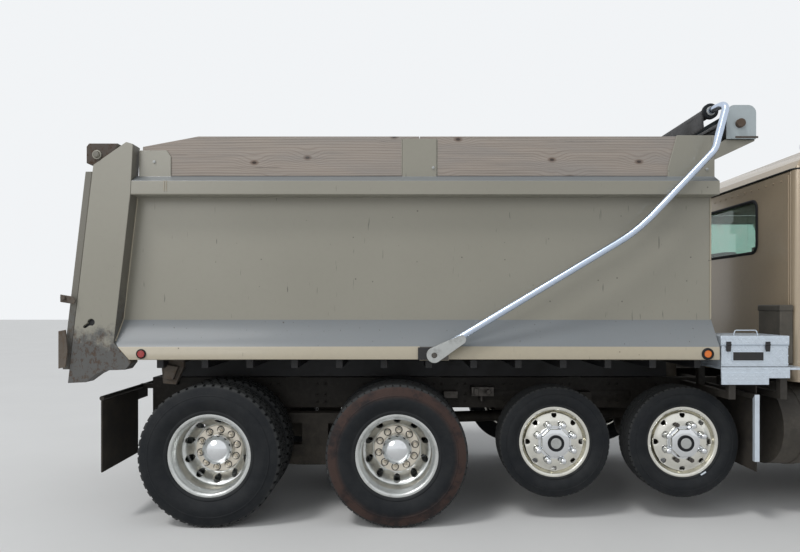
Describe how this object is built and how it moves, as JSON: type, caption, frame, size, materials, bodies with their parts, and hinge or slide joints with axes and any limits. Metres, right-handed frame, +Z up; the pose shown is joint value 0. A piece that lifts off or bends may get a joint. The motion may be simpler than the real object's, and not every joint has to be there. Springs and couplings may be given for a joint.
{
  "type": "dump truck",
  "caption": "Conventional-cab dump truck with a smooth-sided steel tipping bed, wooden side boards, swing-arm tarp, tandem drive axles and raised lift axles.",
  "frame": {"origin": "on the ground under the middle of the truck's bounding box", "axes": "+X forward along the truck, +Y to its left (driver's) side, +Z up"},
  "size_m": [8.52, 2.592, 3.1297],
  "materials": {
    "chassis_black": "dirty black paint",
    "bed_taupe": "taupe paint, worn and dusty",
    "cab_bronze": "bronze tan metallic paint",
    "weathered_wood": "weathered grey brown plank",
    "aluminium": "polished and dulled",
    "steel_chrome": "chrome",
    "tyre_rubber": "black rubber, dusty",
    "glass": "tinted glass",
    "black_cloth": "black mesh cloth",
    "black_rubber": "black rubber",
    "lamp_plastic": "moulded lens",
    "seat_trim": "dark cab trim"
  },
  "bodies": {
    "chassis": {"frame_rails": "chassis_black", "front_bumper": "steel_chrome", "front_axle": "chassis_black", "drive_axles": "chassis_black", "rear_suspension": "chassis_black", "lift_axles": "chassis_black", "engine_block": "chassis_black", "cab_shell": "cab_bronze", "cab_interior": "seat_trim", "cab_glass": "glass", "fuel_tanks": "aluminium", "exhaust_stack": "steel_chrome", "side_decks": "aluminium", "tool_box": "aluminium", "mud_flaps": "black_rubber", "tail_lamps": "lamp_plastic"},
    "hood": {"hood_shell": "cab_bronze", "grille": "steel_chrome", "headlamps": "lamp_plastic"},
    "door_left": {"door_left": "cab_bronze", "door_glass_left": "glass"},
    "door_right": {"door_right": "cab_bronze", "door_glass_right": "glass"},
    "dump_bed": {"bed_floor": "bed_taupe", "bed_sides": "bed_taupe", "bed_front": "bed_taupe", "rear_posts": "bed_taupe", "side_boards": "weathered_wood", "tarp_housing": "bed_taupe", "tarp_roll": "black_cloth", "bed_lamps": "lamp_plastic"},
    "tailgate": {"tailgate": "bed_taupe"},
    "tarp_arms": {"tarp_arms": "aluminium", "tarp_sleeve": "black_cloth"},
    "hoist_barrel": {"hoist_barrel": "chassis_black"},
    "hoist_stage_1": {"hoist_stage_1": "steel_chrome"},
    "hoist_stage_2": {"hoist_stage_2": "steel_chrome"},
    "hoist_stage_3": {"hoist_stage_3": "steel_chrome"},
    "knuckle_left": {"knuckle_left": "chassis_black"},
    "knuckle_right": {"knuckle_right": "chassis_black"},
    "wheel_steer_left": {"tyre_steer_left": "tyre_rubber", "wheel_steer_left": "aluminium"},
    "wheel_steer_right": {"tyre_steer_right": "tyre_rubber", "wheel_steer_right": "aluminium"},
    "wheel_lift_front_left": {"tyre_lift_front_left": "tyre_rubber", "wheel_lift_front_left": "aluminium"},
    "wheel_lift_front_right": {"tyre_lift_front_right": "tyre_rubber", "wheel_lift_front_right": "aluminium"},
    "wheel_lift_rear_left": {"tyre_lift_rear_left": "tyre_rubber", "wheel_lift_rear_left": "aluminium"},
    "wheel_lift_rear_right": {"tyre_lift_rear_right": "tyre_rubber", "wheel_lift_rear_right": "aluminium"},
    "wheel_drive_front_left": {"tyre_drive_front_left": "tyre_rubber", "wheel_drive_front_left": "aluminium"},
    "wheel_drive_front_right": {"tyre_drive_front_right": "tyre_rubber", "wheel_drive_front_right": "aluminium"},
    "wheel_drive_rear_left": {"tyre_drive_rear_left": "tyre_rubber", "wheel_drive_rear_left": "aluminium"},
    "wheel_drive_rear_right": {"tyre_drive_rear_right": "tyre_rubber", "wheel_drive_rear_right": "aluminium"}
  },
  "joints": [
    {"name": "dump", "type": "hinge", "parent": "chassis", "child": "dump_bed", "pos_m": [-3.74, 0, 1.075], "axis": [0, -1, 0], "range_deg": [0, 48]},
    {"name": "tailgate_swing", "type": "hinge", "parent": "dump_bed", "child": "tailgate", "pos_m": [-3.99, 0, 2.72], "axis": [0, 1, 0], "range_deg": [0, 75]},
    {"name": "tarp_arm_swing", "type": "hinge", "parent": "dump_bed", "child": "tarp_arms", "pos_m": [-1.545, 0, 1.269], "axis": [0, -1, 0], "range_deg": [0, 100]},
    {"name": "hood_tilt", "type": "hinge", "parent": "chassis", "child": "hood", "pos_m": [4.07, 0, 0.745], "axis": [0, 1, 0], "range_deg": [0, 60]},
    {"name": "door_left_swing", "type": "hinge", "parent": "chassis", "child": "door_left", "pos_m": [2.4, 1.036, 1.8], "axis": [0, 0, -1], "range_deg": [0, 70]},
    {"name": "door_right_swing", "type": "hinge", "parent": "chassis", "child": "door_right", "pos_m": [2.4, -1.036, 1.8], "axis": [0, 0, 1], "range_deg": [0, 70]},
    {"name": "steer_left", "type": "hinge", "parent": "chassis", "child": "knuckle_left", "pos_m": [3.16, 0.87, 0.525], "axis": [0, 0, 1], "range_deg": [-35, 35]},
    {"name": "steer_right", "type": "hinge", "parent": "chassis", "child": "knuckle_right", "pos_m": [3.16, -0.87, 0.525], "axis": [0, 0, 1], "range_deg": [-35, 35]},
    {"name": "hoist_lean", "type": "hinge", "parent": "chassis", "child": "hoist_barrel", "pos_m": [0.66, 0, 0.8], "axis": [0, -1, 0], "range_deg": [0, 28.28]},
    {"name": "hoist_slide_1", "type": "slide", "parent": "hoist_barrel", "child": "hoist_stage_1", "axis": [0, 0, 1], "range_m": [0, 1.1564]},
    {"name": "hoist_slide_2", "type": "slide", "parent": "hoist_stage_1", "child": "hoist_stage_2", "axis": [0, 0, 1], "range_m": [0, 1.1564]},
    {"name": "hoist_slide_3", "type": "slide", "parent": "hoist_stage_2", "child": "hoist_stage_3", "axis": [0, 0, 1], "range_m": [0, 1.1564]},
    {"name": "spin_steer_left", "type": "hinge", "parent": "knuckle_left", "child": "wheel_steer_left", "pos_m": [3.16, 1.04, 0.525], "axis": [0, 1, 0], "continuous": true},
    {"name": "spin_steer_right", "type": "hinge", "parent": "knuckle_right", "child": "wheel_steer_right", "pos_m": [3.16, -1.04, 0.525], "axis": [0, 1, 0], "continuous": true},
    {"name": "spin_lift_front_left", "type": "hinge", "parent": "chassis", "child": "wheel_lift_front_left", "pos_m": [0.345, 0.948, 0.595], "axis": [0, 1, 0], "continuous": true},
    {"name": "spin_lift_front_right", "type": "hinge", "parent": "chassis", "child": "wheel_lift_front_right", "pos_m": [0.345, -0.948, 0.595], "axis": [0, 1, 0], "continuous": true},
    {"name": "spin_lift_rear_left", "type": "hinge", "parent": "chassis", "child": "wheel_lift_rear_left", "pos_m": [-0.625, 0.948, 0.595], "axis": [0, 1, 0], "continuous": true},
    {"name": "spin_lift_rear_right", "type": "hinge", "parent": "chassis", "child": "wheel_lift_rear_right", "pos_m": [-0.625, -0.948, 0.595], "axis": [0, 1, 0], "continuous": true},
    {"name": "spin_drive_front_left", "type": "hinge", "parent": "chassis", "child": "wheel_drive_front_left", "pos_m": [-1.813, 1.08, 0.525], "axis": [0, 1, 0], "continuous": true},
    {"name": "spin_drive_front_right", "type": "hinge", "parent": "chassis", "child": "wheel_drive_front_right", "pos_m": [-1.813, -1.08, 0.525], "axis": [0, 1, 0], "continuous": true},
    {"name": "spin_drive_rear_left", "type": "hinge", "parent": "chassis", "child": "wheel_drive_rear_left", "pos_m": [-3.185, 1.08, 0.525], "axis": [0, 1, 0], "continuous": true},
    {"name": "spin_drive_rear_right", "type": "hinge", "parent": "chassis", "child": "wheel_drive_rear_right", "pos_m": [-3.185, -1.08, 0.525], "axis": [0, 1, 0], "continuous": true}
  ],
  "couplings": [
    {"joint": "steer_right", "follows": "steer_left", "ratio": 1},
    {"joint": "hoist_lean", "follows": "dump", "ratio": 0.58894},
    {"joint": "hoist_slide_1", "follows": "dump", "m_per_rad": 1.3797},
    {"joint": "hoist_slide_2", "follows": "dump", "m_per_rad": 1.3797},
    {"joint": "hoist_slide_3", "follows": "dump", "m_per_rad": 1.3797}
  ]
}
